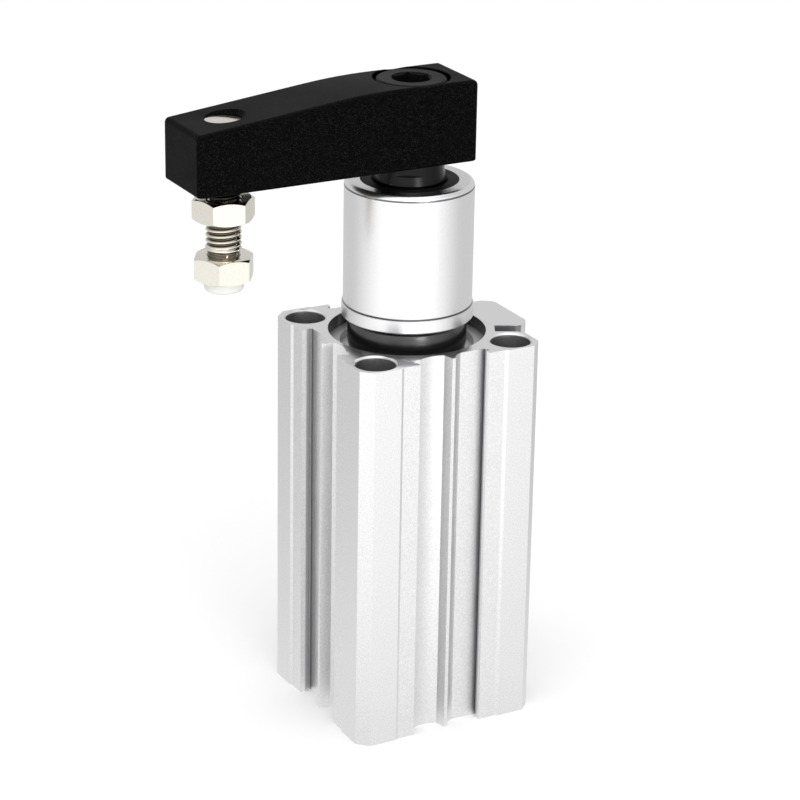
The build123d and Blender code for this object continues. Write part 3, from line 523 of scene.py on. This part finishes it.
# %% The finishes
finish_settings = {
    "body_aluminium": dict(
        dark=(0.62, 0.62, 0.625), light=(1.0, 1.0, 1.0), metallic=1.0, rough=(0.36, 0.42),
        # Painted shade: grey in the slits and holes, near black in the bore's mouth below the top face.
        relief=fine_grain, depth=0.00006, Scale=3200.0, recessed=True,
        core=(0.0181, 0.0002, (0.07, 0.07, 0.072), under_body_top),
        upper=(body_top - face_skin, (0.84, 0.84, 0.845), 0.17),
    ),
    "cover_aluminium": dict(
        dark=(0.78, 0.78, 0.79), light=(0.89, 0.89, 0.9), metallic=1.0, rough=(0.27, 0.31),
        relief=fine_grain, depth=0.000008, Scale=2600.0,
        upper=(cover_top - face_skin, (0.72, 0.72, 0.73), 0.2),
        # Painted shade in the groove at the skirt, and a painted dark reflection under the rim.
        lines=((skirt_shade_line, 0.00009, (0.24, 0.24, 0.245)), (rim_reflection_line, 0.0002, (0.16, 0.16, 0.165))),
    ),
    "end_plate_aluminium": dict(
        dark=(0.66, 0.66, 0.67), light=(0.8, 0.8, 0.81), metallic=1.0, rough=(0.3, 0.4),
        relief=turned_lines, depth=0.00002,
    ),
    "spring_steel": dict(
        dark=(0.48, 0.48, 0.49), light=(0.64, 0.64, 0.65), metallic=1.0, rough=(0.34, 0.46),
        relief=fine_grain, depth=0.00001,
    ),
    "black_rubber": dict(
        dark=(0.004, 0.004, 0.004), light=(0.009, 0.009, 0.009), metallic=0.0, rough=(0.2, 0.27),
        relief=fine_grain, depth=0.000002, gloss=0.9, Scale=1800.0,
    ),
    "seal_rubber": dict(
        dark=(0.02, 0.02, 0.02), light=(0.035, 0.035, 0.035), metallic=0.0, rough=(0.5, 0.6),
        relief=fine_grain, depth=0.00001,
    ),
    "bumper_rubber": dict(
        dark=(0.11, 0.09, 0.06), light=(0.16, 0.13, 0.09), metallic=0.0, rough=(0.45, 0.55),
        relief=fine_grain, depth=0.00001,
    ),
    "scraper_rubber": dict(
        dark=(0.004, 0.004, 0.004), light=(0.008, 0.008, 0.008), metallic=0.0, rough=(0.4, 0.5),
        relief=fine_grain, depth=0.000004, gloss=0.05,
    ),
    "bush_bronze": dict(
        dark=(0.5, 0.34, 0.15), light=(0.66, 0.46, 0.22), metallic=1.0, rough=(0.3, 0.4),
        relief=turned_lines, depth=0.00001,
    ),
    "pin_steel": dict(
        dark=(0.5, 0.5, 0.51), light=(0.62, 0.62, 0.63), metallic=1.0, rough=(0.22, 0.3),
        relief=fine_grain, depth=0.000005,
    ),
    "piston_aluminium": dict(
        dark=(0.66, 0.66, 0.67), light=(0.8, 0.8, 0.81), metallic=1.0, rough=(0.28, 0.38),
        relief=turned_lines, depth=0.00002,
    ),
    "wear_ring_plastic": dict(
        dark=(0.08, 0.21, 0.18), light=(0.12, 0.28, 0.25), metallic=0.0, rough=(0.5, 0.6),
        relief=fine_grain, depth=0.00001,
    ),
    "magnet": dict(
        dark=(0.05, 0.05, 0.055), light=(0.11, 0.11, 0.115), metallic=0.2, rough=(0.5, 0.6),
        relief=fine_grain, depth=0.00001,
    ),
    "rod_steel": dict(
        dark=(0.38, 0.38, 0.385), light=(0.46, 0.46, 0.465), metallic=1.0, rough=(0.05, 0.08),
        relief=turned_lines, depth=0.000001,
        # The rod's end above the cover is painted near black: painted shade and a painted reflection of
        # the arm and cover.
        upper=(rod_shade_foot, (0.018, 0.018, 0.0185), 0.24),
    ),
    "arm_black": dict(
        dark=(0.0002, 0.0002, 0.0002), light=(0.013, 0.0128, 0.0124), metallic=0.0, rough=(0.36, 0.46),
        relief=fine_grain, depth=0.000012, mask="Specks", gloss=0.03, Scale=4600.0, Threshold=0.55,
    ),
    "screw_black": dict(
        dark=(0.004, 0.004, 0.004), light=(0.02, 0.02, 0.021), metallic=0.0, rough=(0.36, 0.46),
        relief=fine_grain, depth=0.00001, mask="Specks", gloss=0.06, Scale=3000.0,
    ),
    "bolt_nickel": dict(
        dark=(0.74, 0.71, 0.63), light=(0.9, 0.87, 0.79), metallic=1.0, rough=(0.08, 0.15),
        relief=fine_grain, depth=0.000003, axis=bolt_axis, Scale=2600.0,
        # Painted shade: the thread's valleys and neck below the nut, and the thread in the gap up to the
        # arm.
        core=(0.0038, 0.0003, (0.15, 0.135, 0.105), nut_foot),
        lines=((gap_shade_middle, gap_shade_half, (0.03, 0.028, 0.024)),),
    ),
    "pad_white": dict(
        dark=(0.66, 0.66, 0.64), light=(0.74, 0.74, 0.72), metallic=0.0, rough=(0.4, 0.5),
        relief=fine_grain, depth=0.000006, axis=bolt_axis,
    ),
}
finishes = {name: finish(name, **settings) for name, settings in finish_settings.items()}
slot_of = {entry["node"]: entry["material_slot"] for entry in frame["record"]["subparts"]}
for name, node in nodes.items():
    node.data.materials.clear()
    node.data.materials.append(finishes[slot_of[name]])
print("finishes", len(finishes), "on nodes", len(slot_of))

# %% [markdown]
# The clamp bolt's thread shows between its head and the lock nut. In the CAD model the shank
# is plain. A screw thread is one wedge-shaped ridge that climbs a fixed pitch each turn, so it
# follows a rule, and Geometry Nodes can apply it: a flat grid is rolled into a tube, and each
# point's radius follows how far it is from the ridge. The grid's rows climb with the ridge, so
# its edges run along rows and stay clean; level rows would cut it raggedly. The pitch and depth
# stay as inputs.

# %% Sizes of the thread
thread_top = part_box("clamp_bolt")[1].z
shank_length = 0.030
neck_length = 0.0016
thread_foot = thread_top - shank_length + neck_length
thread_sizes = {
    "Pitch": 0.00125,
    "Depth": 0.00066,
    "Radius": 0.0039,
    "Foot": thread_foot,
    "Length": thread_top - thread_foot,
    "Run Out": 0.0009,
    "Axis X": bolt_x,
}
print("thread from", round(1000 * thread_foot, 2), "to", round(1000 * thread_top, 2), "mm")

# %% The thread as a Geometry Nodes tree
faces_around = 72
rows_per_pitch = 16
crest_row = 1 / rows_per_pitch
seam_reach = 0.000002

thread = bpy.data.node_groups.new("rolled_thread", "GeometryNodeTree")
thread.interface.new_socket("Geometry", in_out="INPUT", socket_type="NodeSocketGeometry")
for size_name, size in thread_sizes.items():
    socket = thread.interface.new_socket(size_name, in_out="INPUT", socket_type="NodeSocketFloat")
    socket.default_value = size
thread.interface.new_socket("Material", in_out="INPUT", socket_type="NodeSocketMaterial")
thread.interface.new_socket("Geometry", in_out="OUTPUT", socket_type="NodeSocketGeometry")
sizes = thread.nodes.new("NodeGroupInput").outputs
result = thread.nodes.new("NodeGroupOutput").inputs

row_height = math_node(thread, "DIVIDE", sizes["Pitch"], rows_per_pitch)
whole_rise = math_node(thread, "ADD", sizes["Length"], sizes["Pitch"])
rows = math_node(thread, "CEIL", math_node(thread, "DIVIDE", whole_rise, row_height))
grid = add_node(thread, "GeometryNodeMeshGrid", Size_X=1.0, Size_Y=1.0, Vertices_X=faces_around + 1)
link(thread, math_node(thread, "ADD", rows, 1.0), grid.inputs["Vertices Y"])
grid_place = add_node(thread, "GeometryNodeInputPosition").outputs[0]
grid_x, grid_y = split_xyz(thread, grid_place)[:2]
turn_share = math_node(thread, "ADD", grid_x, 0.5)
length_share = math_node(thread, "ADD", grid_y, 0.5)
row = math_node(thread, "MULTIPLY", length_share, rows)
turns_before = math_node(thread, "DIVIDE", row, rows_per_pitch)
turns_here = math_node(thread, "ADD", turns_before, math_node(thread, "SUBTRACT", turn_share, 1.0))
climb = math_node(thread, "MULTIPLY", turns_here, sizes["Pitch"])
height = math_node(thread, "MINIMUM", math_node(thread, "MAXIMUM", climb, 0.0), sizes["Length"])
angle = math_node(thread, "MULTIPLY", turn_share, radians(360))

wave = math_node(thread, "PINGPONG", turns_before, 0.5)
flank = add_node(thread, "ShaderNodeMapRange", From_Min=crest_row, From_Max=0.5 - crest_row,
                 To_Min=0.0, To_Max=1.0)
link(thread, wave, flank.inputs["Value"])
from_top = math_node(thread, "SUBTRACT", sizes["Length"], height)
nearest_end = math_node(thread, "MINIMUM", height, from_top)
fade = math_node(thread, "MINIMUM", math_node(thread, "DIVIDE", nearest_end, sizes["Run Out"]), 1.0)
cut = math_node(thread, "MULTIPLY", math_node(thread, "MULTIPLY", flank.outputs[0], sizes["Depth"]), fade)
radius = math_node(thread, "SUBTRACT", sizes["Radius"], cut)

rolled = add_node(thread, "ShaderNodeCombineXYZ")
rolled_x = math_node(thread, "MULTIPLY", radius, math_node(thread, "COSINE", angle))
rolled_y = math_node(thread, "MULTIPLY", radius, math_node(thread, "SINE", angle))
link(thread, math_node(thread, "ADD", rolled_x, sizes["Axis X"]), rolled.inputs["X"])
link(thread, rolled_y, rolled.inputs["Y"])
link(thread, math_node(thread, "ADD", height, sizes["Foot"]), rolled.inputs["Z"])
roll_up = add_node(thread, "GeometryNodeSetPosition")
link(thread, grid.outputs["Mesh"], roll_up.inputs["Geometry"])
link(thread, rolled.outputs[0], roll_up.inputs["Position"])
closed = add_node(thread, "GeometryNodeMergeByDistance", Distance=seam_reach)
link(thread, roll_up.outputs[0], closed.inputs["Geometry"])
realized = add_node(thread, "GeometryNodeRealizeInstances")
link(thread, closed.outputs[0], realized.inputs[0])
coloured = add_node(thread, "GeometryNodeSetMaterial")
link(thread, realized.outputs[0], coloured.inputs["Geometry"])
link(thread, sizes["Material"], coloured.inputs["Material"])
link(thread, coloured.outputs[0], result["Geometry"])
print("thread tree with", len(thread.nodes), "nodes")

# %% [markdown]
# The tree is run once on an empty object, and its result is kept as a plain mesh. That is what
# the bolt's head is joined to, and what the export can read.

# %% Turn the tree into a plain mesh
def plain_mesh(name, tree, values):
    """Run a Geometry Nodes tree on an empty mesh and give back its result as a mesh."""
    carrier = bpy.data.objects.new(name + "_carrier", bpy.data.meshes.new(name + "_carrier"))
    scene.collection.objects.link(carrier)
    modifier = carrier.modifiers.new(name, "NODES")
    modifier.node_group = tree
    for socket in tree.interface.items_tree:
        if socket.in_out == "INPUT" and socket.name in values:
            modifier[socket.identifier] = values[socket.name]
    bpy.context.view_layer.update()
    evaluated = carrier.evaluated_get(bpy.context.evaluated_depsgraph_get())
    mesh = bpy.data.meshes.new_from_object(evaluated)
    mesh.name = name
    bpy.data.objects.remove(carrier)
    return mesh


thread_mesh = plain_mesh("bolt_thread", thread, {**thread_sizes, "Material": finishes["bolt_nickel"]})
print("thread faces", len(thread_mesh.polygons))

# %% [markdown]
# The bolt is one piece of metal, so the thread is joined to a copy of the CAD bolt's head and
# neck, and the new piece stands for the CAD node. The copy is loose triangles, so its doubled
# points are merged before the plain shank is cut away. Both cut rims are closed again, so that
# the piece is one closed surface.

# %% The clamp bolt: head and thread in one mesh
point_weld = 0.000001
rim_slack = 0.00001
flat_face = 0.0000005

bolt = bmesh.new()
bolt.from_mesh(nodes["clamp_bolt"].data)
bmesh.ops.remove_doubles(bolt, verts=bolt.verts, dist=point_weld)
bmesh.ops.bisect_plane(
    bolt,
    geom=bolt.verts[:] + bolt.edges[:] + bolt.faces[:],
    plane_co=(0, 0, thread_foot),
    plane_no=(0, 0, 1),
    clear_outer=True,
)
bolt.from_mesh(thread_mesh)
rims = [e for e in bolt.edges if e.is_boundary]
foot_rims = [e for e in rims if max(v.co.z for v in e.verts) < thread_foot + rim_slack]
top_rim = [e for e in rims if min(v.co.z for v in e.verts) > thread_top - rim_slack]
bmesh.ops.bridge_loops(bolt, edges=foot_rims)
bmesh.ops.holes_fill(bolt, edges=top_rim, sides=0)
bmesh.ops.dissolve_degenerate(bolt, dist=flat_face, edges=bolt.edges)
print("open edges left on the bolt:", sum(e.is_boundary for e in bolt.edges))
bmesh.ops.recalc_face_normals(bolt, faces=bolt.faces)
bolt_mesh = bpy.data.meshes.new("threaded_clamp_bolt")
bolt.to_mesh(bolt_mesh)
bolt.free()
print("bolt faces", len(bolt_mesh.polygons))

# %% [markdown]
# The CAD bolt's mesh stores a shading direction at each corner, and its copy keeps them. They
# no longer fit the new faces and would draw a false slit, so they are removed. The shading is
# worked out anew instead: smooth all over, and sharp where two faces meet at a clear angle. The
# thread's faces also come with material number 1, while the bolt has only number 0, so all of
# them are set to 0.

# %% The clamp bolt: shading, finish and place
crease_angle = radians(30)

bolt_mesh.materials.append(finishes["bolt_nickel"])
stored_normals = bolt_mesh.attributes.get("custom_normal")
print("stored normals on the copy:", stored_normals is not None)
if stored_normals:
    bolt_mesh.attributes.remove(stored_normals)
bolt_mesh.shade_smooth()
bolt_mesh.set_sharp_from_angle(angle=crease_angle)
print("sharp edges", sum(edge.use_edge_sharp for edge in bolt_mesh.edges), "of", len(bolt_mesh.edges))
print("material numbers as joined:", {polygon.material_index for polygon in bolt_mesh.polygons})
for polygon in bolt_mesh.polygons:
    polygon.material_index = 0
threaded_bolt = bpy.data.objects.new("threaded_clamp_bolt", bolt_mesh)
scene.collection.objects.link(threaded_bolt)
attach(threaded_bolt, "rod")
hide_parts("clamp_bolt")
print("the bolt rides on the rod and replaces the plain one")
